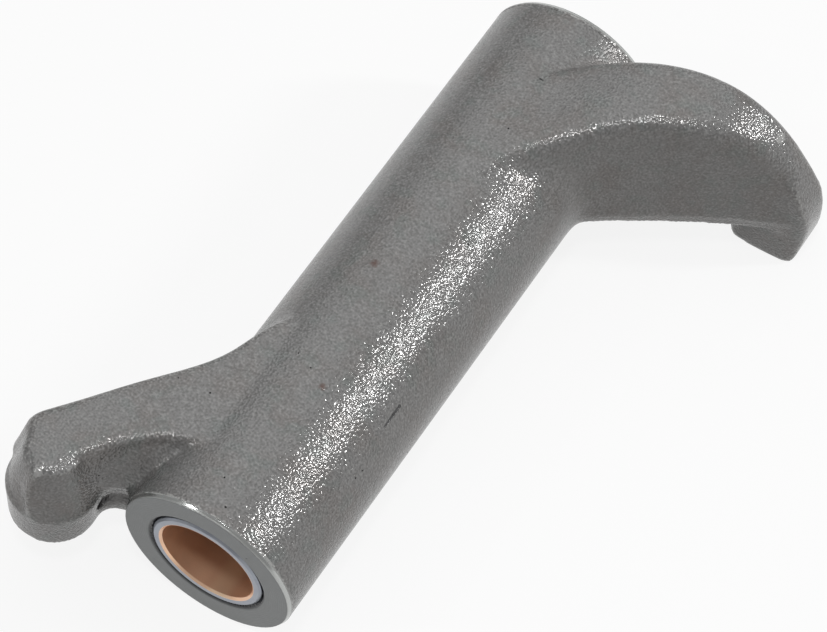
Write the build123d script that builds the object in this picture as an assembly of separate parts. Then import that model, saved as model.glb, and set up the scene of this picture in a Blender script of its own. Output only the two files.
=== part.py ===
"""Rocker arm for a 9/16 inch rocker shaft: a forged steel arm with a long shaft tube, a pushrod
socket at one end, a valve tip at the other, and a steel-backed bronze bush pressed into each mouth.

Frame: the origin is on the shaft axis, halfway along the tube. +Y runs along the shaft from the
pushrod end to the valve end, +X points to the valve side, and +Z is up as the arm lies on a bench,
on the underside of its tube and on its valve pad.
The forging is drawn square to its die parting plane, z = 0 there, and is laid down at the end.
"""
import os
from math import asin, atan2, degrees, hypot, radians, tan

from build123d import *

# ---- shaft, bushes and tube (mm) ----
SHAFT_DIAMETER = 14.29          # 9/16 in rocker shaft
RUNNING_CLEARANCE = 0.05        # on the diameter, bush to shaft
LINING_THICKNESS = 0.35         # bronze bearing layer
BACKING_THICKNESS = 1.07        # steel back of the bush
BUSH_LENGTH = 22.0
BUSH_EDGE_CHAMFER = 0.3
TUBE_LENGTH = 95.5              # thrust face to thrust face
TUBE_DIAMETER = 26.34
TUBE_EDGE_RUN = 0.57            # edge chamfer of each thrust face, along the tube
TUBE_EDGE_RISE = 0.33           # and across it
MOUTH_CHAMFER = 0.67            # lead-in for pressing the bush home

bore_radius = (SHAFT_DIAMETER + RUNNING_CLEARANCE) / 2
lining_radius = bore_radius + LINING_THICKNESS
bush_radius = lining_radius + BACKING_THICKNESS
tube_radius = TUBE_DIAMETER / 2
half_length = TUBE_LENGTH / 2

# ---- pushrod arm: x from the shaft axis, y from the pushrod-end face ----
SOCKET_X = -23.6
SOCKET_Y = -1.0
SOCKET_BOSS_RADIUS = 6.6
SOCKET_BOSS_DEPTH = 6.9         # below the parting plane
SOCKET_RIM_RISE = 1.4           # sloped ledge above the parting plane
SOCKET_RIM_RUN = 1.1
SOCKET_BALL_RADIUS = 3.97       # 5/16 in pushrod ball
SOCKET_MOUTH_DEPTH = 2.4        # straight lead-in below the ball's centre
TONGUE_TIP_TOP = 9.6            # top of the arm over the socket
TONGUE_ROOT_TOP = 11.3          # and where it runs into the tube
TONGUE_ROOT_X = -7.0
TONGUE_END_REACH = 3.0          # from the socket axis to the top of the end face
TONGUE_END_SLOPE = 16.5
TONGUE_END_BEARING = 219.0      # the way the end face looks, in plan
TONGUE_CORNER_RADIUS = 2.4
OILWAY_DIAMETER = 2.4
OILWAY_Y = 9.0                  # where the oilway breaks into the bore
OUTLINE_TOP = 11.6              # height at which the upper outline is drawn
TONGUE_NEAR_FOOT = [(-5, 6.3), (-10, 5.9), (-13.6, 4.3), (-17.0, 0.9), (-20.2, -3.5), (-23.0, -8.0)]
TONGUE_NEAR_TOP = [(-5, 9.1), (-10, 8.9), (-14.4, 6.4), (-18.3, 2.2), (-21.6, -2.7), (-24.6, -7.2)]
TONGUE_FAR_FOOT = [(-9, 34.0), (-11.9, 29.2), (-13.6, 24.6), (-19.0, 16.4), (-27.0, 5.9), (-31.5, 0.0)]
TONGUE_FAR_TOP = [(-7.5, 33.0), (-10.2, 28.6), (-12.0, 23.6), (-17.8, 15.5), (-26.2, 5.3), (-31.0, -0.5)]
NECK = [(-5, 4.0), (-13.0, 3.0), (-15.4, 2.75), (-16.7, 1.9), (-17.15, 0.2), (-17.2, -1.2)]

# ---- valve arm: x from the shaft axis, y from the valve-end face ----
ARM_TOP = 18.0                  # height at which the upper outline is drawn
ARM_NEAR_FOOT = [(4, -34.0), (6.5, -28.5), (11.0, -23.3), (14.6, -20.3), (18.3, -17.6), (24.7, -13.3),
                 (31.4, -9.2), (44.0, -3.9)]
ARM_NEAR_TOP = [(-4, -38.0), (-0.5, -32.5), (2.0, -26.9), (7.3, -20.8), (12.0, -16.6), (16.4, -13.4),
                (23.9, -9.8), (31.2, -6.3), (44.0, -1.9)]
ARM_FAR_FOOT = [(-1.5, -11.0), (4.3, -5.9), (9.2, -2.9), (15.2, -0.5), (20.0, 0.7), (28.0, 1.3), (44.0, 1.3)]
ARM_FAR_TOP = [(-4, -17.0), (0.5, -12.0), (5.2, -7.3), (9.9, -4.5), (15.6, -2.3), (20.0, -1.2), (28.0, -0.5),
               (44.0, -0.5)]
BACK_ROOT = [(-8.0, -0.25), (-4.0, -0.1), (0.0, 0.13), (5.0, 2.3)]    # x, height above the tube's surface
ARM_BACK = [(13.0, 17.1), (20.0, 18.1), (27.0, 17.4), (33.5, 13.7), (38.3, 8.0), (40.7, 2.5), (41.1, -4.0),
            (40.6, -8.6)]
VALVE_WEB_DEPTH = 2.2           # below the parting plane
PAD_RADIUS = 25.0               # crowned face that bears on the valve stem
PAD_X = 34.1                    # centre line of the crown
PAD_DEPTH = 10.0                # lowest line of the crown, below the parting plane
PAD_INNER_X = 29.8
PAD_NEAR_Y = -5.4
PAD_FAR_Y = 3.6
FOOT_INNER_X = 26.8             # the foot's inner wall where it leaves the web
FOOT_TOP_INNER_X = 30.8         # and at the foot's top
FOOT_OUTER_X = 41.4
FOOT_FAR_Y = -0.4               # the foot's far wall at its top
FOOT_TOP = 9.0
FOOT_CORNER_RADIUS = 2.2

# ---- drafts and edges ----
LOWER_DRAFT = 3.0
DIE_MISMATCH = 0.25             # the lower die stands this far inside the upper one
RIDGE_RADIUS = 1.0
BACK_RADIUS = 1.5


def bar(points, height):
    """Smooth edge through plan points at one height."""
    return Spline(*[(x, y, height) for x, y in points])


def joined(one, other, height):
    return Line((*one, height), (*other, height))


def outline(near, far, height):
    """Plan face between a near and a far side, both drawn from the tube outwards."""
    edges = [bar(near, height), joined(near[-1], far[-1], height), bar(far, height), joined(far[0], near[0], height)]
    return make_face(edges).face()


def shifted(points, distance):
    """Plan points moved sideways, to the left of the way they run."""
    moved = []
    for index, (x, y) in enumerate(points):
        before = points[max(index - 1, 0)]
        after = points[min(index + 1, len(points) - 1)]
        run, rise = after[0] - before[0], after[1] - before[1]
        moved.append((x - rise / hypot(run, rise) * distance, y + run / hypot(run, rise) * distance))
    return moved


def side_profile(edges):
    """Prism along the shaft, past both ends of the tube, from a closed outline drawn in x and z."""
    face = Pos(0, -TUBE_LENGTH, 0) * make_face(edges).face()
    return extrude(face, amount=2 * TUBE_LENGTH, dir=(0, 1, 0))


def polygon_edges(points):
    """Closed straight-sided outline in x and z."""
    corners = [(x, 0, z) for x, z in points]
    return [Line(a, b) for a, b in zip(corners, corners[1:] + corners[:1])]


def tube():
    """Turned shaft tube with both thrust faces chamfered, still solid, its seam turned to the underside."""
    rim = tube_radius - TUBE_EDGE_RISE
    shoulder = half_length - TUBE_EDGE_RUN
    points = [(0, -half_length), (rim, -half_length), (tube_radius, -shoulder), (tube_radius, shoulder),
              (rim, half_length), (0, half_length)]
    return Rot(0, 90, 0) * revolve(make_face(Polyline(*points, close=True)), Axis.Y)


def bush_seat():
    """What is bored out of the tube: the through bore with a lead-in at each mouth."""
    mouth = bush_radius + MOUTH_CHAMFER
    inner = half_length - MOUTH_CHAMFER
    points = [(0, -half_length), (mouth, -half_length), (bush_radius, -inner), (bush_radius, inner),
              (mouth, half_length), (0, half_length)]
    return revolve(make_face(Polyline(*points, close=True)), Axis.Y)


def tongue_top(x):
    slope = (TONGUE_ROOT_TOP - TONGUE_TIP_TOP) / (TONGUE_ROOT_X - SOCKET_X)
    return TONGUE_TIP_TOP + slope * (x - SOCKET_X)


def tongue():
    """Upper half of the pushrod arm, from the parting plane to its flat top."""
    block = loft([outline(TONGUE_NEAR_FOOT, TONGUE_FAR_FOOT, 0),
                  outline(TONGUE_NEAR_TOP, TONGUE_FAR_TOP, OUTLINE_TOP)], ruled=True)
    left = 2 * SOCKET_X
    under_top = side_profile(polygon_edges([(left, 0), (0, 0), (0, tongue_top(0)), (left, tongue_top(left))]))
    block = block & under_top
    reach = TONGUE_END_REACH + TONGUE_TIP_TOP * tan(radians(TONGUE_END_SLOPE))
    beyond = Box(TUBE_LENGTH, TUBE_LENGTH, TUBE_LENGTH, align=(Align.MIN, Align.CENTER, Align.CENTER))
    end_face = Pos(SOCKET_X, SOCKET_Y, 0) * Rot(0, 0, TONGUE_END_BEARING) * Pos(reach, 0, 0)
    block = block - end_face * Rot(0, -TONGUE_END_SLOPE, 0) * beyond
    upright = block.edges().filter_by(lambda e: abs(e.tangent_at(0.5).Z) > 0.7)
    end_corners = upright.sort_by(Axis.X)[:2]
    block = fillet(end_corners, TONGUE_CORNER_RADIUS)
    top = block.faces().sort_by(lambda f: f.normal_at().Z)[-1]
    return fillet(top.edges().filter_by(lambda e: e.center().X < TONGUE_ROOT_X), RIDGE_RADIUS)


def socket_boss():
    """Round boss over the pushrod socket, with the sloped ledge of its rim."""
    inset = SOCKET_BOSS_DEPTH * tan(radians(LOWER_DRAFT))
    lower = Cone(SOCKET_BOSS_RADIUS - inset, SOCKET_BOSS_RADIUS, SOCKET_BOSS_DEPTH,
                 align=(Align.CENTER, Align.CENTER, Align.MAX))
    rim = Cone(SOCKET_BOSS_RADIUS, SOCKET_BOSS_RADIUS - SOCKET_RIM_RUN, SOCKET_RIM_RISE,
               align=(Align.CENTER, Align.CENTER, Align.MIN))
    return Pos(SOCKET_X, SOCKET_Y, 0) * (lower + rim)


def web_plan(neck, far, height):
    """Plan of the pushrod arm's lower half, closed through the socket axis."""
    socket = (SOCKET_X, SOCKET_Y)
    edges = [bar(neck, height), joined(neck[-1], socket, height), joined(socket, far[-1], height),
             bar(far, height), joined(far[0], neck[0], height)]
    return make_face(edges).face()


def pushrod_web():
    """Lower half of the pushrod arm, with the clearance neck between the boss and the tube."""
    far = shifted(TONGUE_FAR_FOOT[:5], DIE_MISMATCH)
    inset = SOCKET_BOSS_DEPTH * tan(radians(LOWER_DRAFT))
    return loft([web_plan(NECK, far, 0), web_plan(shifted(NECK, -inset), shifted(far, inset), -SOCKET_BOSS_DEPTH)],
                ruled=True)


def socket_cut():
    """Ball seat for the pushrod, open downwards."""
    centre = Pos(SOCKET_X, SOCKET_Y, -SOCKET_BOSS_DEPTH + SOCKET_MOUTH_DEPTH)
    ball = Sphere(SOCKET_BALL_RADIUS)
    mouth = Cylinder(SOCKET_BALL_RADIUS, SOCKET_MOUTH_DEPTH + 1, align=(Align.CENTER, Align.CENTER, Align.MAX))
    return centre * (ball + mouth)


def oilway():
    """Drilling from the crown of the ball seat into the shaft bore."""
    start = Vector(SOCKET_X, SOCKET_Y, -SOCKET_BOSS_DEPTH + SOCKET_MOUTH_DEPTH)
    end = Vector(0, OILWAY_Y, 0)
    drill = Plane(origin=start, z_dir=end - start)
    return extrude(drill * Circle(OILWAY_DIAMETER / 2), amount=(end - start).length)


def arm_side():
    """Side view of the valve arm: back, nose and crowned pad."""
    root = [(x, (tube_radius ** 2 - x ** 2) ** 0.5 + rise) for x, rise in BACK_ROOT]
    back = Spline(*[(x, 0, z) for x, z in root + ARM_BACK])
    nose = ARM_BACK[-1]
    crown_top = PAD_RADIUS - PAD_DEPTH
    inner = (PAD_INNER_X, crown_top - (PAD_RADIUS ** 2 - (PAD_INNER_X - PAD_X) ** 2) ** 0.5)
    outer_x = nose[0] - 0.6
    outer = (outer_x, crown_top - (PAD_RADIUS ** 2 - (outer_x - PAD_X) ** 2) ** 0.5)
    middle = (PAD_X, -PAD_DEPTH)
    pad = ThreePointArc((outer[0], 0, outer[1]), (middle[0], 0, middle[1]), (inner[0], 0, inner[1]))
    return [back, Line((nose[0], 0, nose[1]), (outer[0], 0, outer[1])), pad,
            Line((inner[0], 0, inner[1]), (FOOT_INNER_X, 0, -VALVE_WEB_DEPTH)),
            Line((FOOT_INNER_X, 0, -VALVE_WEB_DEPTH), (root[0][0], 0, -VALVE_WEB_DEPTH)),
            Line((root[0][0], 0, -VALVE_WEB_DEPTH), (root[0][0], 0, root[0][1]))]


def valve_upper():
    """Upper half of the valve arm: a drafted web whose back edges are rounded."""
    block = loft([outline(ARM_NEAR_FOOT, ARM_FAR_FOOT, 0), outline(ARM_NEAR_TOP, ARM_FAR_TOP, ARM_TOP + 1)], ruled=True)
    block = block & side_profile(arm_side())
    back = block.faces().sort_by(lambda f: f.center().Z)[-1]
    return fillet(back.edges().filter_by(lambda e: e.length > PAD_X / 2), BACK_RADIUS)


def valve_lower():
    """Shallow lower half of the web, drafted the other way."""
    inset = DIE_MISMATCH + VALVE_WEB_DEPTH * tan(radians(LOWER_DRAFT))
    block = loft([outline(shifted(ARM_NEAR_FOOT, DIE_MISMATCH), shifted(ARM_FAR_FOOT, -DIE_MISMATCH), 0),
                  outline(shifted(ARM_NEAR_FOOT, inset), shifted(ARM_FAR_FOOT, -inset), -VALVE_WEB_DEPTH)],
                 ruled=True) & side_profile(arm_side())
    nose_corners = block.edges().filter_by(lambda e: e.center().X > PAD_X and abs(e.tangent_at(0.5).Z) > 0.9)
    return fillet(nose_corners, BACK_RADIUS)


def valve_foot():
    """Foot round the crowned pad, rather wider than the web."""
    block = loft([pad_plan(PAD_INNER_X, PAD_FAR_Y, -PAD_DEPTH), pad_plan(FOOT_TOP_INNER_X, FOOT_FAR_Y, FOOT_TOP)],
                 ruled=True)
    return block & side_profile(arm_side())


def pad_plan(inner_x, far_y, height):
    """Rounded plan of the foot at one height."""
    width = FOOT_OUTER_X - inner_x
    length = far_y - PAD_NEAR_Y
    middle = Pos(inner_x + width / 2, PAD_NEAR_Y + length / 2, height)
    return middle * RectangleRounded(width, length, FOOT_CORNER_RADIUS)


def forging():
    """The whole steel arm, square to its parting plane."""
    pushrod_end = Pos(0, -half_length, 0)
    valve_end = Pos(0, half_length, 0)
    arm = tube() + pushrod_end * (tongue() + pushrod_web() + socket_boss())
    arm = arm + valve_end * (valve_upper() + valve_lower() + valve_foot())
    return arm - bush_seat() - pushrod_end * socket_cut() - pushrod_end * oilway()


def bush_shell():
    """Steel back of the bush at the pushrod end, flush with the thrust face."""
    outside = -half_length
    inside = outside + BUSH_LENGTH
    lead = BUSH_EDGE_CHAMFER
    points = [(lining_radius, outside), (bush_radius - lead, outside), (bush_radius, outside + lead),
              (bush_radius, inside - lead), (bush_radius - lead, inside), (lining_radius, inside)]
    return revolve(make_face(Polyline(*points, close=True)), Axis.Y)


def bush_lining():
    """Bronze bearing layer inside the shell, chamfered at both edges of its bore."""
    outside = -half_length
    inside = outside + BUSH_LENGTH
    edge = BUSH_EDGE_CHAMFER
    points = [(bore_radius + edge, outside), (lining_radius, outside), (lining_radius, inside),
              (bore_radius + edge, inside), (bore_radius, inside - edge), (bore_radius, outside + edge)]
    return revolve(make_face(Polyline(*points, close=True)), Axis.Y)


def rest_tilt():
    """Turn about the shaft that sets the pad's crown level with the underside of the tube."""
    crown_height = PAD_RADIUS - PAD_DEPTH
    distance = hypot(PAD_X, crown_height)
    return degrees(atan2(crown_height, PAD_X) - asin((PAD_RADIUS - tube_radius) / distance))


laid = Rot(0, rest_tilt(), 0)
oil_drill = Pos(0, -half_length, 0) * oilway()
parts = {
    "rocker_body": forging(),
    "pushrod_end_bush_shell": bush_shell() - oil_drill,
    "pushrod_end_bush_lining": bush_lining() - oil_drill,
    "valve_end_bush_shell": mirror(bush_shell(), Plane.XZ),
    "valve_end_bush_lining": mirror(bush_lining(), Plane.XZ),
}
os.makedirs("parts", exist_ok=True)
for name, shape in parts.items():
    export_step(laid * shape, f"parts/{name}.step")
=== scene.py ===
# %% [markdown]
# # A forged rocker arm
#
# A rocker arm turns the lift of a pushrod into the push on a valve. This one is a single steel
# forging: a long tube that rocks on a shaft, a short arm over the pushrod at one end and a hooked
# arm over the valve at the other. A bush of steel-backed bronze is pressed into each mouth.
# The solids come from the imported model. This lesson rounds the forging's roots in the mesh, and
# gives every piece its finish, light and camera.

# %% Load the frame
import math

import bmesh
import bpy
import numpy as np
from mathutils import Matrix, Vector


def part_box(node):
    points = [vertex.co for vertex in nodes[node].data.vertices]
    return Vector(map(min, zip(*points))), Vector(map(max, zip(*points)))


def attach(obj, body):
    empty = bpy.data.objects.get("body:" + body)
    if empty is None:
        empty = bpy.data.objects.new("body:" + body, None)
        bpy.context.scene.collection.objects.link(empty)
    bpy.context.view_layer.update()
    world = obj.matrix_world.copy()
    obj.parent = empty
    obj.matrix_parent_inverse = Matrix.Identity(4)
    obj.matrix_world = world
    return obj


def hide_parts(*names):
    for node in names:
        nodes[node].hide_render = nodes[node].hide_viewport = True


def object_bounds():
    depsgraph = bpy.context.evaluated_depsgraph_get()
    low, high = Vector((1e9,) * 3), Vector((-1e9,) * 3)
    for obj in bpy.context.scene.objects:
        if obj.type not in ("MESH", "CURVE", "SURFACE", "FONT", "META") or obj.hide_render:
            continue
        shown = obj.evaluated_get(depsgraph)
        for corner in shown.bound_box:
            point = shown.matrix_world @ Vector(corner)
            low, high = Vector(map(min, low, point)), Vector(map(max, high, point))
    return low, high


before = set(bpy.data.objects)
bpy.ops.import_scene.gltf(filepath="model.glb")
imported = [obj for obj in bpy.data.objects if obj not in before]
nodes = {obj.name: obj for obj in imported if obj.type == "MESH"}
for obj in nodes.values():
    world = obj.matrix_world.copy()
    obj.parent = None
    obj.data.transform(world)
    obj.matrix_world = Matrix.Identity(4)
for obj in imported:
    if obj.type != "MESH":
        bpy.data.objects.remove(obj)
cad_low, cad_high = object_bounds()
print("pieces:", sorted(nodes))
print("size in mm:", [round(1000 * side, 1) for side in cad_high - cad_low])

# %% [markdown]
# ## Sizes that the finishes need
#
# The finishes change where the real part changes from forged skin to turned metal, so they need
# the tube's length and radii. They are read from the boxes of the pieces. All of them are in
# millimetres: at that scale a grain of blasted steel is about a third, which is easy to think in.

# %% Sizes in millimetres
MM = 1000
shell_low, shell_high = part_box("pushrod_end_bush_shell")
lining_low, lining_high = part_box("pushrod_end_bush_lining")
FACE_Y = -MM * shell_low.y                             # thrust faces stand at plus and minus this
SHELL_RADIUS = MM * (shell_high.z - shell_low.z) / 2
LINING_RADIUS = MM * (lining_high.z - lining_low.z) / 2
TUBE_RADIUS = -MM * cad_low.z                          # the tube lies on the floor
print(f"faces at {FACE_Y:.2f}, tube {TUBE_RADIUS:.2f}, shell {SHELL_RADIUS:.2f}, lining {LINING_RADIUS:.2f}")

# %% [markdown]
# ## Shader maths as Python
#
# A finish is a graph of small nodes. Wiring them by hand hides the idea, so a `Channel` wraps a
# socket and lets a mask be written as an expression, such as `1 - rust * 0.5`. Each operator adds
# one Math node. The reflected forms, such as `__rsub__`, let a plain number stand on the left.


# %% Channel
class Channel:
    """A socket of numbers that can stand in a Python expression."""

    def __init__(self, finish, socket):
        self.finish = finish
        self.socket = socket

    def math(self, operation, first, second):
        return self.finish.node("ShaderNodeMath", {"operation": operation}, {0: first, 1: second})

    def __add__(self, other):
        return self.math("ADD", self, other)

    def __radd__(self, other):
        return self.math("ADD", other, self)

    def __sub__(self, other):
        return self.math("SUBTRACT", self, other)

    def __rsub__(self, other):
        return self.math("SUBTRACT", other, self)

    def __mul__(self, other):
        return self.math("MULTIPLY", self, other)

    def __rmul__(self, other):
        return self.math("MULTIPLY", other, self)


print("a Channel can be added, subtracted and multiplied")

# %% [markdown]
# ## A finish from one method
#
# A `Finish` is one material. Its `node` method makes any node: it sets the node's own settings
# first, because they change which sockets a node has, and then fills the sockets with numbers,
# colours or links. The rest are short names for what a maker asks for often: a soft step, noise
# of a given fineness, and one colour laid over another. Places are measured in millimetres from the
# part's own origin, so a mark stays where it is as the camera moves.


# %% Finish
class Finish:
    """One material, built node by node around a single shader."""

    def __init__(self, name):
        self.material = bpy.data.materials.new(name)
        self.material.use_nodes = True
        self.tree = self.material.node_tree
        self.tree.nodes.clear()
        place = self.node("ShaderNodeTexCoord", out="Object")
        self.mm = self.node("ShaderNodeVectorMath", {"operation": "SCALE"}, {0: place, "Scale": MM})

    def node(self, kind, settings=None, sockets=None, out=0):
        """Adds a node: its settings first, then a number, colour or link for each socket."""
        made = self.tree.nodes.new(kind)
        for key, value in (settings or {}).items():
            setattr(made, key, value)
        for key, value in (sockets or {}).items():
            if isinstance(value, Channel):
                self.tree.links.new(value.socket, made.inputs[key])
            else:
                made.inputs[key].default_value = value
        return Channel(self, made.outputs[out]) if made.outputs else None

    def step(self, value, low, high):
        """0 below low, 1 above high and a soft edge between them."""
        return self.node("ShaderNodeMapRange", {"interpolation_type": "SMOOTHSTEP"},
                         {"Value": value, "From Min": low, "From Max": high})

    def noise(self, per_mm, detail=2.0):
        """Soft noise from 0 to 1 with about this many lumps in each millimetre."""
        return self.node("ShaderNodeTexNoise", None,
                         {"Vector": self.mm, "Scale": per_mm, "Detail": detail})

    def blend(self, factor, under, over):
        """Colour under where factor is 0, and over where it is 1."""
        return self.node("ShaderNodeMix", {"data_type": "RGBA"}, {0: factor, 6: under, 7: over}, out=2)

    def shader(self, **sockets):
        """Closes the material with a Principled shader that has these sockets."""
        named = {}
        for key, value in sockets.items():
            named[key.replace("_", " ").title().replace("Ior", "IOR")] = value
        return self.close(self.node("ShaderNodeBsdfPrincipled", None, named))

    def close(self, surface):
        """Links a surface to the output and gives the finished material."""
        self.node("ShaderNodeOutputMaterial", None, {"Surface": surface})
        return self.material


print("a Finish makes one material")

# %% [markdown]
# ## The forging's rounded roots
#
# Hot steel doesn't fill a sharp corner of the die, so a forging runs from arm to tube in soft
# hollows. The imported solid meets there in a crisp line, which is right for planning a cut and
# wrong for the eye. Fillets cut in the solid break at the ends of such a curved line, and a bevel
# on the mesh needs clean edges. So a copy of the solid is wrapped in an even net of small
# squares, which can be relaxed by plain arithmetic.
#
# Two closed bodies are laid into the copy first, since the net swallows what overlaps: the cone
# that runs from the boss over the pushrod up the end of its arm, and the flare of the arm's near
# wall, which spreads towards the thrust face low down. The flare is the hull of a few corners.

# %% The solid, the cone and the flare
LAID = Matrix.Rotation(math.radians(5.2287), 4, "Y")   # the forging as it lies, from square to its dies
SOCKET_AXIS = (-23.6, -48.75)
BOSS_RADIUS = 6.1
CONE_FROM, CONE_TO = 1.0, 9.4                           # heights above the parting plane
CONE_FOOT, CONE_TOP = BOSS_RADIUS, 4.0                  # its radii
CONE_SIDES = 96
FLARE = [                                               # x, y and z of its corners
    (-8.5, -39.2, 9.0), (-9.0, -40.3, 8.5), (-9.6, -42.6, 7.9), (-11.4, -44.2, 5.2),
    (-12.6, -45.1, 2.0), (-16.8, -46.4, 3.0), (-15.5, -44.6, 6.4), (-14.7, -43.3, 9.4),
    (-13.5, -41.7, 10.5), (-11.1, -40.3, 10.6), (-9.1, -39.2, 10.8), (-11, -37, 3), (-14, -40, 3),
]

solid = bmesh.new()
solid.from_mesh(nodes["rocker_body"].data)
cone_middle = Vector((*SOCKET_AXIS, (CONE_FROM + CONE_TO) / 2)) / MM
bmesh.ops.create_cone(solid, cap_ends=True, segments=CONE_SIDES, depth=(CONE_TO - CONE_FROM) / MM,
                      radius1=CONE_FOOT / MM, radius2=CONE_TOP / MM,
                      matrix=LAID @ Matrix.Translation(cone_middle))
flare = bmesh.new()
for corner in FLARE:
    flare.verts.new(Vector(corner) / MM)
bmesh.ops.convex_hull(flare, input=flare.verts[:])
flare_mesh = bpy.data.meshes.new("flare")
flare.to_mesh(flare_mesh)
flare.free()
solid.from_mesh(flare_mesh)
sharp_mesh = bpy.data.meshes.new("sharp_forging")
solid.to_mesh(sharp_mesh)
solid.free()
print("sharp forging of", len(sharp_mesh.polygons), "faces")

# %% [markdown]
# ## The net
#
# The Remesh modifier lays a net of even squares over everything that is inside, and Shrinkwrap
# pulls it back onto the true surface, because the net alone cuts the corners by half a square.
# A smaller square would show the arms' ridges more crisply, but takes more triangles.

# %% Wrap the net
NET = 0.48                                              # side of a square of the net

target = bpy.data.objects.new("sharp_forging", sharp_mesh)
netted = bpy.data.objects.new("netted_forging", sharp_mesh.copy())
for made in (target, netted):
    bpy.context.scene.collection.objects.link(made)
remesh = netted.modifiers.new("net", "REMESH")
remesh.mode, remesh.voxel_size = "VOXEL", NET / MM
wrap = netted.modifiers.new("wrap", "SHRINKWRAP")
wrap.target = target
depsgraph = bpy.context.evaluated_depsgraph_get()
net = bpy.data.meshes.new_from_object(netted.evaluated_get(depsgraph))
for spare in (target, netted):
    bpy.data.objects.remove(spare)
print("net of", len(net.polygons), "faces")

# %% [markdown]
# ## How a net relaxes
#
# A point relaxes when it moves towards the middle of its neighbours. Blender's Smooth modifier
# does the same, but it rounds corners away as readily as it fills hollows. With the normal at
# each point the two can be told apart: in a hollow the neighbours' middle lies outwards, and on a
# corner it lies inwards. The helpers below find both for the whole net at once.


# %% Helpers for the net
def smooth_step(value, low, high):
    """0 below low, 1 above high and a soft edge between them."""
    share = np.clip((value - low) / (high - low), 0, 1)
    return share * share * (3 - 2 * share)


def within(value, rise=None, fall=None):
    """1 between a soft rise and a soft fall, each given as where it starts and ends."""
    share = np.ones_like(value)
    if rise:
        share = share * smooth_step(value, *rise)
    if fall:
        share = share * (1 - smooth_step(value, *fall))
    return share


def normals_of(points, quads):
    """Unit normal at each point of a net of squares."""
    across = points[quads[:, 2]] - points[quads[:, 0]]
    along = points[quads[:, 3]] - points[quads[:, 1]]
    facing = np.cross(across, along)
    summed = np.zeros_like(points)
    for corner in range(4):
        for axis in range(3):
            summed[:, axis] += np.bincount(quads[:, corner], facing[:, axis], len(points))
    return summed / np.maximum(np.linalg.norm(summed, axis=1, keepdims=True), 1e-9)


def pull(points, edges, counts):
    """From each point to the middle of its neighbours."""
    first, second = edges.T
    middle = np.empty_like(points)
    for axis in range(3):
        middle[:, axis] = (np.bincount(first, points[second, axis], len(points))
                           + np.bincount(second, points[first, axis], len(points))) / counts
    return middle - points


print("helpers ready: smooth_step, within, normals_of, pull")

# %% Read the net
points = np.empty(len(net.vertices) * 3, np.float32)
net.vertices.foreach_get("co", points)
points = points.reshape(-1, 3).astype(float) * MM
edges = np.empty(len(net.edges) * 2, np.int32)
net.edges.foreach_get("vertices", edges)
edges = edges.reshape(-1, 2)
quads = np.array([tuple(square.vertices) for square in net.polygons])
counts = np.bincount(edges.ravel(), minlength=len(points))
print("net of", len(points), "points and", len(edges), "edges")

# %% [markdown]
# ## Where the net may move
#
# Only some places of a forging are soft. The bore, the ball seat and most of the boss's rim are
# cut or struck crisply, so `free` holds them. The valve arm's root is the widest hollow, the
# pushrod arm's is smaller, and the near wall fills up where its flare was laid in. Each place is a
# soft box: the pairs say, in millimetres, where it fades in and where it fades out.

# %% Soft boxes
SEAT_EDGE, SEAT_TOP = (4.3, 4.8), (0.5, 2.5)            # the ball seat's radius and height
RIM_HALF, RIM_FOOT, RIM_TOP = (0.8, 1.6), (0.5, 1.5), (4, 5)
RIM_HOLD = 0.75                                         # share of its movement that the rim loses
BORE_HOLD, SKIN_FREE = 0.9, 0.5                         # depths under the tube's skin

x, y, z = points.T
outside = smooth_step(np.hypot(x, z), TUBE_RADIUS - BORE_HOLD, TUBE_RADIUS - SKIN_FREE)
from_socket = np.hypot(x - SOCKET_AXIS[0], y - SOCKET_AXIS[1])
seat = within(from_socket, fall=SEAT_EDGE) * within(z, fall=SEAT_TOP)
boss_rim = within(abs(from_socket - BOSS_RADIUS), fall=RIM_HALF) * within(z, RIM_FOOT, RIM_TOP)
free = outside * (1 - seat) * (1 - RIM_HOLD * boss_rim)
valve_root = within(x, (3, 8), (17, 22)) * within(y, (-2, 5), (36, 42)) * within(z, (-6, -1), (9.5, 12))
pushrod_root = within(x, fall=(-9, -6)) * within(-y, (5, 12), (34, 38))
near_wall = within(x, (-25, -22), (-12.8, -12)) * within(y, fall=(-40, -37)) * within(z, (1, 2.5), (9, 10.5))
print("points that may move:", int(np.count_nonzero(free > 0.5)))

# %% [markdown]
# ## Fill the hollows
#
# In each round a point moves outwards by a share of its pull, and never inwards, so hollows fill
# and corners stay. It also slides a little along the surface, which keeps the squares even while
# the hollow changes shape. A few dozen rounds carry the rounding some millimetres up each wall.

# %% Fill
FILL_ROUNDS = 62
FILL_PACE, SLIDE_PACE = 0.9, 0.2
FILL_ALL, FILL_VALVE, FILL_PUSHROD = 0.03, 0.9, 0.4

hollow_share = FILL_ALL + valve_root * FILL_VALVE + pushrod_root * FILL_PUSHROD + near_wall
hollow_share = free * np.clip(hollow_share, 0, 1)
for turn in range(FILL_ROUNDS):
    towards = pull(points, edges, counts)
    normals = normals_of(points, quads)
    outwards = np.sum(towards * normals, axis=1)
    filling = normals * (np.maximum(outwards, 0) * hollow_share * FILL_PACE)[:, None]
    sliding = (towards - normals * outwards[:, None]) * (free * SLIDE_PACE)[:, None]
    points = points + filling + sliding
print("filled in", FILL_ROUNDS, "rounds")

# %% [markdown]
# ## Soften the ridges
#
# The valve arm's near ridge rolls over more softly than its far one, and the end of the pushrod
# arm is rounded too. Here corners have to go, so a plain relaxing is right. The ridge is found by
# its distance from a line of a few points along it, seen from above.

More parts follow.
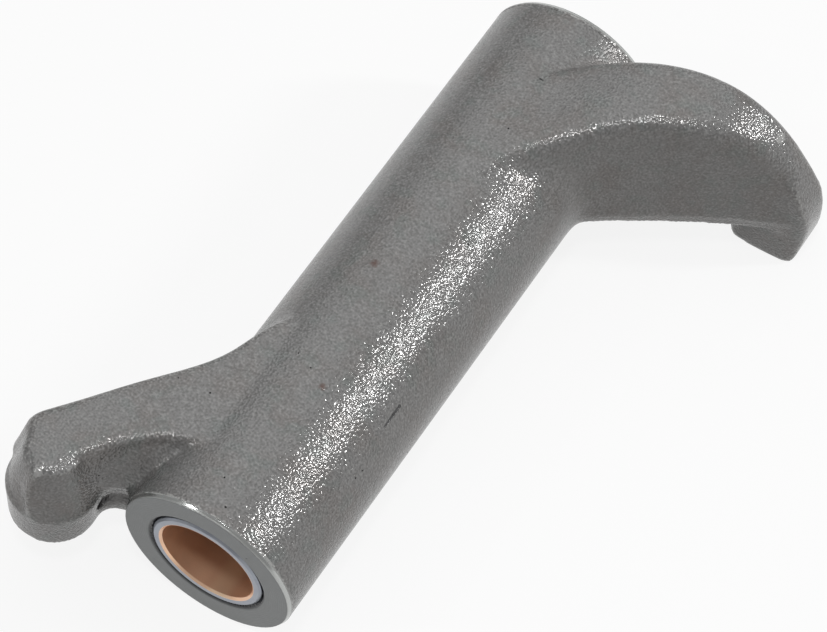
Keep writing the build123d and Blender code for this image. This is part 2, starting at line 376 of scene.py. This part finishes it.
# %% Soften
# x and y of points along the ridge, from the tube to the end of the arm
NEAR_RIDGE = [(2, 20.9), (7.3, 27), (12, 31.2), (16.4, 34.4), (23.9, 38), (31.2, 41.4), (38, 43.5)]
RIDGE_STEPS = 80                                        # points that the line is cut into
ALL_ROUNDS, TIP_ROUNDS, RIDGE_ROUNDS = 3, 14, 45
SOFTEN_PACE = 0.5

line = np.array(NEAR_RIDGE)
steps = np.linspace(0, len(line) - 1, RIDGE_STEPS)
line_x, line_y = (np.interp(steps, range(len(line)), line[:, axis]) for axis in (0, 1))
from_ridge = np.min(np.hypot(x[:, None] - line_x, y[:, None] - line_y), axis=1)
rolled = within(from_ridge, fall=(2.4, 4.6)) * within(x, (2, 8)) * within(z, (3, 8))
tip = within(x, fall=(-25, -19)) * within(z, (4.5, 6.5))
for turn in range(RIDGE_ROUNDS):
    softened = SOFTEN_PACE * ((turn < ALL_ROUNDS) + tip * (turn < TIP_ROUNDS) + rolled)
    share = free * np.clip(softened, 0, SOFTEN_PACE)
    points = points + pull(points, edges, counts) * share[:, None]
net.vertices.foreach_set("co", (points / MM).astype(np.float32).ravel())
print("relaxed", len(points), "points")

# %% [markdown]
# ## Keep the turned ends crisp
#
# The net is too coarse for the turned ends: their chamfers are only half a millimetre. So the
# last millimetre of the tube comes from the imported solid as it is, and the net takes over behind
# the chamfer, where both lie on the same cylinder.

# %% Join the net and the turned ends
CUT_Y = FACE_Y - 0.9                                    # behind the chamfer
CUT_LAP = 0.05                                          # how far the two parts overlap
END_REACH = 0.1                                         # past the tube's radius


def kept_part(mesh, wanted, cut_y):
    """A copy of a mesh cut at both ends, keeping only the faces that are wanted."""
    piece = bmesh.new()
    piece.from_mesh(mesh)
    for side in (-1, 1):
        every = piece.verts[:] + piece.edges[:] + piece.faces[:]
        bmesh.ops.bisect_plane(piece, geom=every, plane_co=(0, side * cut_y / MM, 0), plane_no=(0, 1, 0))
    drop = [face for face in piece.faces if not wanted(MM * face.calc_center_median())]
    bmesh.ops.delete(piece, geom=drop, context="FACES")
    out = bpy.data.meshes.new("kept")
    piece.to_mesh(out)
    piece.free()
    return out


def in_turned_end(place, cut_y):
    return abs(place.y) > cut_y and math.hypot(place.x, place.z) < TUBE_RADIUS + END_REACH


end_y = CUT_Y - CUT_LAP
ends = kept_part(nodes["rocker_body"].data, lambda place: in_turned_end(place, end_y), end_y)
middle = kept_part(net, lambda place: not in_turned_end(place, CUT_Y), CUT_Y)
whole = bmesh.new()
whole.from_mesh(ends)
whole.from_mesh(middle)
forging_mesh = bpy.data.meshes.new("rocker_forging")
whole.to_mesh(forging_mesh)
whole.free()
forging = bpy.data.objects.new("rocker_forging", forging_mesh)
bpy.context.scene.collection.objects.link(forging)
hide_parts("rocker_body")
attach(forging, "root")
print("forging of", len(forging_mesh.polygons), "faces")

# %% [markdown]
# ## The forged skin
#
# After forging, the arm is blasted with steel shot. Each hit leaves a tiny dish, so the skin is a
# dull, even grey that breaks into bright sparks where a lamp is mirrored. A smooth metal with a
# high roughness would give the grey but no sparks. Here the grey comes from a partly metallic
# base, and the sparks from a bump of grains about a third of a millimetre wide. Broad, faint
# noise tints the skin warmer and cooler, as scale does where the blast has worked it less.
#
# Two masks come from the shape itself. Pointiness finds the ridges, which are painted pale: wear from
# handling and a painted highlight together. The normal's height finds the walls, which are painted
# darker than what faces up: painted shade.


# %% Blasted grain
SKIN_GREY = (0.190, 0.188, 0.186, 1)
SKIN_WARM = (0.172, 0.160, 0.154, 1)
SKIN_COOL = (0.160, 0.178, 0.172, 1)
SKIN_DARK = (0.095, 0.093, 0.091, 1)
SKIN_LIGHT = (0.30, 0.30, 0.295, 1)
SKIN_WEAR_AND_HIGHLIGHT = (0.42, 0.42, 0.41, 1)
SKIN_WALL_SHADE = (0.06, 0.052, 0.045, 1)
WARM_PER_MM, COOL_PER_MM, SOOT_PER_MM = 0.16, 0.31, 2.2
GRAIN_PER_MM, COARSE_PER_MM = 3.0, 1.1


def blasted_skin(finish):
    """Colour of the blasted skin, with the fine and coarse grain that also shape it."""
    warm = finish.step(finish.noise(WARM_PER_MM, 3), 0.42, 0.66)
    cool = finish.step(finish.noise(COOL_PER_MM, 2), 0.5, 0.7)
    colour = finish.blend(warm * 0.7, SKIN_GREY, SKIN_WARM)
    colour = finish.blend(cool * 0.5, colour, SKIN_COOL)

    grains = finish.noise(GRAIN_PER_MM, 0.3)
    coarse = finish.noise(COARSE_PER_MM, 2)
    soot = finish.step(finish.noise(SOOT_PER_MM, 3), 0.60, 0.75)
    colour = finish.blend((1 - finish.step(grains, 0.30, 0.48)) * 0.4, colour, SKIN_DARK)
    colour = finish.blend(finish.step(grains, 0.55, 0.72) * 0.4, colour, SKIN_LIGHT)
    colour = finish.blend(soot * 0.35, colour, SKIN_DARK)

    # Painted highlight and wear: the ridges that pointiness finds are painted pale.
    pointed = finish.node("ShaderNodeNewGeometry", out="Pointiness")
    pale_share = finish.step(pointed + (grains - 0.5) * 0.06, 0.515, 0.56)
    # Painted shade: faces that point sideways, the walls, are painted darker than what faces up.
    normal = finish.node("ShaderNodeNewGeometry", out="Normal")
    upright = finish.node("ShaderNodeSeparateXYZ", None, {0: normal}, out="Z")
    wall_shade = 1 - finish.step(upright, 0.25, 0.75)
    colour = finish.blend(pale_share * 0.6, colour, SKIN_WEAR_AND_HIGHLIGHT)
    colour = finish.blend(wall_shade * 0.3, colour, SKIN_WALL_SHADE)
    return colour, grains, coarse


print("grain of", round(1 / GRAIN_PER_MM, 2), "mm")

# %% [markdown]
# ## Marks of handling
#
# A real forging isn't even. Rust and shot leave a few specks and pinholes, and tools have left
# two short scratches. Each mark is a soft reach round a point or a line, so it stays where it is
# on the part from every side. Pinholes are too many to place, so they come from the cells of a
# Voronoi texture: only the few cells whose random value is high show a hole at their centre.
# Behind the valve arm, where little shot reached, the skin has stayed duller.

# %% Specks, pinholes and scratches
RUST_SPECKS = [((-1.7, -3.0, 13.1), 0.9), ((2.8, -23.0, 12.9), 0.75), ((-26.8, -53.8, 0.5), 0.9)]
SCRATCHES = [
    ((1.5, 35.1, 13.2), (3.5, 34.7, 13.2), 0.16),       # start, end and width
    ((11.3, -21.0, 7.1), (11.1, -17.2, 7.0), 0.3),
]
SHELTERED, SHELTER_REACH = (7.2, 40, 11), 9
RAG_PER_MM = 2.5                                        # how fine the ragged edge of a speck is
CELLS_PER_MM = 0.42
HOLE_EDGE = (0.035, 0.07)                               # in cells
HOLE_CHANCE = (0.72, 0.74)


def near_point(finish, point, radius):
    """1 at a point and 0 beyond a radius, with a ragged edge."""
    away = finish.node("ShaderNodeVectorMath", {"operation": "DISTANCE"}, {0: finish.mm, 1: point}, out=1)
    ragged = away + finish.noise(RAG_PER_MM) * radius
    return 1 - finish.step(ragged, radius * 0.6, radius * 1.5)


def along_line(finish, start, end, width):
    """1 on a short straight line and 0 beyond a width from it."""
    start, end = Vector(start), Vector(end)
    run = end - start
    offset = finish.node("ShaderNodeVectorMath", {"operation": "SUBTRACT"}, {0: finish.mm, 1: start})
    share = finish.node("ShaderNodeVectorMath", {"operation": "DOT_PRODUCT"},
                        {0: offset, 1: run / run.length_squared}, out=1)
    held = finish.node("ShaderNodeClamp", None, {"Value": share})
    foot = finish.node("ShaderNodeVectorMath", {"operation": "SCALE"}, {0: run, "Scale": held})
    away = finish.node("ShaderNodeVectorMath", {"operation": "DISTANCE"}, {0: offset, 1: foot}, out=1)
    return 1 - finish.step(away, width * 0.5, width)


def pinholes(finish):
    """Few small dark holes, one in a rare cell."""
    cells = {"Vector": finish.mm, "Scale": CELLS_PER_MM}
    away = finish.node("ShaderNodeTexVoronoi", None, cells)
    shade = finish.node("ShaderNodeTexVoronoi", None, cells, out=1)
    chance = finish.node("ShaderNodeSeparateColor", None, {0: shade})
    return (1 - finish.step(away, *HOLE_EDGE)) * finish.step(chance, *HOLE_CHANCE)


print(len(RUST_SPECKS), "rust specks and", len(SCRATCHES), "scratches")

# %% [markdown]
# ## Turned faces
#
# The two thrust faces are turned on a lathe after forging, so they lose the blasted grain and show
# fine rings round the shaft. The finish finds them by place: close to the end planes, and within
# the tube's radius. Their chamfers are bright. The lead-in round each bush is a narrow groove that is
# painted near black, as painted shade in the crevice, and the bore behind the bushes is painted dark too.

# %% Where the turned metal is
MOUTH_LEAD = 0.67                                       # width of the lead-in round each bush
FACE_DEPTH, CHAMFER_DEPTH, GROOVE_DEPTH = (0.12, 0.3), (0.5, 0.62), (1.2, 2)    # where each fades out
CHAMFER_WIDTH = 0.36
EDGE_FADE = 0.1
RINGS_PER_MM = 3.0


def axis_distance(finish):
    """Distance from the shaft's axis, in millimetres."""
    flat = finish.node("ShaderNodeVectorMath", {"operation": "MULTIPLY"}, {0: finish.mm, 1: (1, 0, 1)})
    return finish.node("ShaderNodeVectorMath", {"operation": "LENGTH"}, {0: flat}, out=1)


def face_depth(finish):
    """How far a point is from the nearer thrust face, in millimetres."""
    y = finish.node("ShaderNodeSeparateXYZ", None, {0: finish.mm}, out=1)
    return FACE_Y - finish.node("ShaderNodeMath", {"operation": "ABSOLUTE"}, {0: y})


def turned_places(finish, radius):
    """Masks of the turned face, the chamfer, the groove round a bush and the bore."""
    depth = face_depth(finish)
    inside_tube = 1 - finish.step(radius, TUBE_RADIUS - EDGE_FADE, TUBE_RADIUS + EDGE_FADE)
    face = (1 - finish.step(depth, *FACE_DEPTH)) * inside_tube
    chamfer_edge = TUBE_RADIUS - CHAMFER_WIDTH
    chamfer = finish.step(radius, chamfer_edge, chamfer_edge + EDGE_FADE * 0.6)
    chamfer = chamfer * (1 - finish.step(radius, TUBE_RADIUS + EDGE_FADE * 0.5, TUBE_RADIUS + EDGE_FADE))
    chamfer = chamfer * (1 - finish.step(depth, *CHAMFER_DEPTH))
    groove_edge = SHELL_RADIUS + MOUTH_LEAD
    groove = 1 - finish.step(radius, groove_edge - 0.25, groove_edge)
    groove = groove * (1 - finish.step(depth, *GROOVE_DEPTH))
    bore = 1 - finish.step(radius, SHELL_RADIUS + EDGE_FADE * 0.2, SHELL_RADIUS + EDGE_FADE)
    return face, chamfer, groove, bore


def rings(finish, radius):
    """Fine turned rings, a little uneven."""
    wander = finish.noise(0.5) * 0.4
    turns = (radius + wander) * (2 * math.pi * RINGS_PER_MM)
    return finish.node("ShaderNodeMath", {"operation": "SINE"}, {0: turns})


print("turned faces reach", round(TUBE_RADIUS, 2), "mm from the axis")

# %% [markdown]
# ## Forged steel
#
# One finish covers the whole forging, as on the real part, where the lathe and the drill have only
# cut through the blasted skin. Each kind of metal lies over the last by its mask. The bump's
# height follows the same masks: grain on the skin, rings on the faces, dents at the holes and
# scratches. The Bevel node under it lets sharp edges catch the light, and moves no point.


# %% Forged steel
TURNED_GREY = (0.175, 0.182, 0.182, 1)
TURNED_DARK = (0.135, 0.14, 0.14, 1)
CHAMFER_BRIGHT = (0.45, 0.46, 0.45, 1)
# painted shade: the lead-in groove round each bush is painted near black
GROOVE_SHADE = (0.018, 0.018, 0.02, 1)
BORE_GREY = (0.06, 0.055, 0.05, 1)
RUST_BROWN = (0.075, 0.028, 0.018, 1)
HOLE_BLACK = (0.012, 0.011, 0.011, 1)
SCRATCH_GREY = (0.03, 0.03, 0.032, 1)
EDGE_SOFTNESS = 0.0003                                  # metres: how far the eye reads an edge as round
GRAIN_HEIGHT = 0.00011                                  # metres


def forged_colour(finish, skin, face, chamfer, groove, bore, holes, scratches):
    """Blasted skin with the turned, rusty and scratched places laid over it, painted shade in the groove and
    a darker bore.
    """
    turned = finish.blend(finish.noise(0.9, 3) * 0.5, TURNED_GREY, TURNED_DARK)
    colour = finish.blend(face, skin, turned)
    colour = finish.blend(chamfer, colour, CHAMFER_BRIGHT)
    colour = finish.blend(groove, colour, GROOVE_SHADE)
    colour = finish.blend(bore * 0.6, colour, BORE_GREY)
    for point, size in RUST_SPECKS:
        colour = finish.blend(near_point(finish, point, size) * 0.75, colour, RUST_BROWN)
    colour = finish.blend(holes * (1 - face * 0.5), colour, HOLE_BLACK)
    return finish.blend(scratches * 0.8, colour, SCRATCH_GREY)


def forged_steel():
    finish = Finish("forged_steel")
    skin, grains, coarse = blasted_skin(finish)
    radius = axis_distance(finish)
    face, chamfer, groove, bore = turned_places(finish, radius)
    holes = pinholes(finish)
    scratches = sum(along_line(finish, *line) for line in SCRATCHES)
    colour = forged_colour(finish, skin, face, chamfer, groove, bore, holes, scratches)

    blasted = (1 - face) * (1 - chamfer)
    height = blasted * (grains + coarse * 0.5) + face * rings(finish, radius) * 0.05
    height = height - holes * 2 - scratches * 1.2
    soft_edge = finish.node("ShaderNodeBevel", {"samples": 6}, {"Radius": EDGE_SOFTNESS})
    bump = finish.node("ShaderNodeBump", None, {"Height": height, "Strength": 1.0,
                                                "Distance": GRAIN_HEIGHT, "Normal": soft_edge})
    sheltered = near_point(finish, SHELTERED, SHELTER_REACH)
    roughness = 0.15 + coarse * 0.08 + face * 0.17 + sheltered * 0.3
    return finish.shader(base_color=colour, metallic=0.3 + chamfer * 0.6, roughness=roughness,
                         specular_ior_level=0.35, normal=bump)


forging.data.materials.append(forged_steel())
print("finish on the forging:", forging.data.materials[0].name)

# %% [markdown]
# ## The bushes
#
# Each bush is a rolled strip: a back of bright steel that presses into the tube, and a thin layer
# of bronze that runs on the shaft. The strip's cut edge shows as a pale blue-grey ring. The bronze
# has been reamed, so its marks run round the bore: the noise for them is squeezed along the bore
# and stretched across it. The bronze is painted darker deeper inside, which is painted shade, and a
# pale band painted along the low side of the bore is a painted highlight.


# %% Bush steel and bronze
SHELL_BLUE = (0.24, 0.26, 0.31, 1)
SHELL_PALE = (0.40, 0.42, 0.45, 1)
BRONZE_LIGHT = (0.94, 0.62, 0.42, 1)
BRONZE_DEEP = (0.78, 0.50, 0.34, 1)
BRONZE_SHADED = (0.40, 0.25, 0.17, 1)
BRONZE_HIGHLIGHT = (1.0, 0.76, 0.53, 1)
DEPTH_SHADE_REACH = 15                                        # from the thrust face
REAM_SQUEEZE = (0.15, 4, 0.15)
HIGHLIGHT_X, HIGHLIGHT_Z = 1.8, -LINING_RADIUS - 0.8          # a line just under the bronze, low in the bore
HIGHLIGHT_LINE = ((HIGHLIGHT_X, -60, HIGHLIGHT_Z), (HIGHLIGHT_X, 60, HIGHLIGHT_Z), 2.8)  # start, end and width


def bush_steel():
    finish = Finish("bush_steel")
    pale_share = finish.noise(0.8, 3)
    colour = finish.blend(pale_share, SHELL_BLUE, SHELL_PALE)
    bump = finish.node("ShaderNodeBump", None,
                       {"Height": finish.noise(5, 2), "Strength": 0.5, "Distance": 0.00001})
    return finish.shader(base_color=colour, metallic=0.85, roughness=0.3 + pale_share * 0.15, normal=bump)


def bush_bronze():
    finish = Finish("bush_bronze")
    # Painted shade: the bronze is painted darker deeper inside the bore.
    depth_shade = finish.step(face_depth(finish), 0, DEPTH_SHADE_REACH)
    blotch = finish.noise(0.35, 3)
    # Painted highlight: a pale band painted along the low side of the bore.
    painted_highlight_band = along_line(finish, *HIGHLIGHT_LINE)
    colour = finish.blend(blotch, BRONZE_LIGHT, BRONZE_DEEP)
    colour = finish.blend(depth_shade * 0.35, colour, BRONZE_SHADED)
    colour = finish.blend(painted_highlight_band * 0.6, colour, BRONZE_HIGHLIGHT)
    squeezed = finish.node("ShaderNodeVectorMath", {"operation": "MULTIPLY"}, {0: finish.mm, 1: REAM_SQUEEZE})
    reamed = finish.node("ShaderNodeTexNoise", None, {"Vector": squeezed, "Scale": 1.5, "Detail": 3})
    bump = finish.node("ShaderNodeBump", None, {"Height": reamed, "Strength": 0.6, "Distance": 0.00002})
    return finish.shader(base_color=colour, metallic=0.72, roughness=0.26 + blotch * 0.12, normal=bump)


steel, bronze = bush_steel(), bush_bronze()
for end in ("pushrod_end", "valve_end"):
    for name, material in ((f"{end}_bush_shell", steel), (f"{end}_bush_lining", bronze)):
        nodes[name].data.materials.clear()
        nodes[name].data.materials.append(material)
        print("finish on", name, "is", material.name)

# %% [markdown]
# ## Smooth and sharp edges
#
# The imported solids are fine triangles. Shading them smooth, with edges kept sharp where two faces
# meet at more than a set angle, hides the triangles and keeps the real corners.

# %% Shade by angle
SHARP_ANGLE = math.radians(28)
shown = [forging] + [node for name, node in nodes.items() if name != "rocker_body"]
for piece in shown:
    piece.data.shade_smooth()
    piece.data.set_sharp_from_angle(angle=SHARP_ANGLE)
print("shaded", len(shown), "pieces, sharp above", round(math.degrees(SHARP_ANGLE)), "degrees")

# %% [markdown]
# ## The bench
#
# The arm lies on a plain white bench. Bright white paper would throw so much light back up that
# the arm's underside and walls go pale. So the paper is a light grey for the light that bounces
# off it, and the Light Path node mixes in a plain white for what the camera sees and what metal
# mirrors. A small share of the paper stays in the mix, and that carries the arm's shadow.

# %% Bench
BENCH_SIZE = 4.0                                        # metres
PAPER_GREY = (0.7, 0.7, 0.7, 1)
SEEN_WHITE = 0.87                                       # the rest shows the paper and its shadow

bench_mesh = bpy.data.meshes.new("bench")
half = BENCH_SIZE / 2
corners = [(-half, -half, 0), (half, -half, 0), (half, half, 0), (-half, half, 0)]
bench_mesh.from_pydata(corners, [], [(0, 1, 2, 3)])
bench = bpy.data.objects.new("bench", bench_mesh)
bench.location.z = cad_low.z
bpy.context.scene.collection.objects.link(bench)


def bench_white():
    """White to the camera, with the soft shadow of what lies on it."""
    finish = Finish("bench_white")
    paper = finish.node("ShaderNodeBsdfDiffuse", None, {"Color": PAPER_GREY})
    glow = finish.node("ShaderNodeEmission", None, {"Color": (1, 1, 1, 1), "Strength": 1.0})
    seen = sum(finish.node("ShaderNodeLightPath", out=ray)
               for ray in ("Is Camera Ray", "Is Glossy Ray", "Is Transmission Ray"))
    share = finish.node("ShaderNodeClamp", None, {"Value": seen}) * SEEN_WHITE
    return finish.close(finish.node("ShaderNodeMixShader", None, {0: share, 1: paper, 2: glow}))


bench_mesh.materials.append(bench_white())
print("bench at z", round(bench.location.z, 4))

# %% [markdown]
# ## Lamps
#
# Blasted steel shows a lamp only where it is mirrored, so each lamp has its own job. The strip,
# behind and to the right, draws the line of sparks along the tube and down the hooked arm. The
# kicker, nearly overhead, picks out the near ridges, and the front one the chamfer of the thrust
# face. The wide overhead lamp keeps the top even, and the world fills the rest. Small lamps give
# hard sparks and wide ones a soft sheen.


# %% Lamps and world
WORLD_FILL = 0.38


def lamp(name, towards, distance, size, watts):
    """A rectangular lamp that shines at the arm from a direction."""
    data = bpy.data.lights.new(name, "AREA")
    data.shape = "RECTANGLE"
    data.size, data.size_y = size
    data.energy = watts
    made = bpy.data.objects.new(name, data)
    away = Vector(towards).normalized()
    made.location = away * distance
    made.rotation_mode = "QUATERNION"
    made.rotation_quaternion = away.to_track_quat("Z", "Y")
    bpy.context.scene.collection.objects.link(made)


lamp("strip", (0.70, 0.46, 0.56), 0.8, (0.065, 0.15), 2.8)
lamp("overhead", (-0.3, 0.4, 0.9), 1.2, (1.5, 1.5), 5.2)
lamp("front", (-0.5, -0.55, 0.65), 0.8, (0.05, 0.05), 0.4)
lamp("kicker", (0.144, -0.263, 0.953), 0.8, (0.09, 0.09), 1.5)

world = bpy.data.worlds.new("studio")
bpy.context.scene.world = world
world.use_nodes = True
background = world.node_tree.nodes["Background"]
background.inputs["Color"].default_value = (1, 1, 1, 1)
background.inputs["Strength"].default_value = WORLD_FILL
bpy.context.scene.view_settings.view_transform = "Standard"

# %% [markdown]
# ## Camera
#
# The camera looks down steeply from the pushrod end. A long lens from half a metre away keeps the
# tube's sides almost parallel. Its matrix is built from the direction it looks in, which is
# plainer to read than three rotation angles.

# %% Camera
CAMERA_AT = Vector((0.1535, -0.2422, 0.4467))
AZIMUTH, ELEVATION = math.radians(31.92), math.radians(57.46)
IMAGE_WIDTH, FOCAL_PIXELS, SENSOR = 827, 3845.8, 36.0
back = Vector((math.sin(AZIMUTH) * math.cos(ELEVATION), -math.cos(AZIMUTH) * math.cos(ELEVATION),
               math.sin(ELEVATION)))
right = Vector((math.cos(AZIMUTH), math.sin(AZIMUTH), 0))
up = back.cross(right)

camera = bpy.data.objects.new("camera", bpy.data.cameras.new("camera"))
camera.data.sensor_width = SENSOR
camera.data.lens = FOCAL_PIXELS / IMAGE_WIDTH * SENSOR
camera.data.clip_start, camera.data.clip_end = 0.01, 20
camera.matrix_world = Matrix.Translation(CAMERA_AT) @ Matrix((right, up, back)).transposed().to_4x4()
bpy.context.scene.collection.objects.link(camera)
bpy.context.scene.camera = camera
print("lens", round(camera.data.lens, 1), "mm, looking from", [round(v, 3) for v in CAMERA_AT])
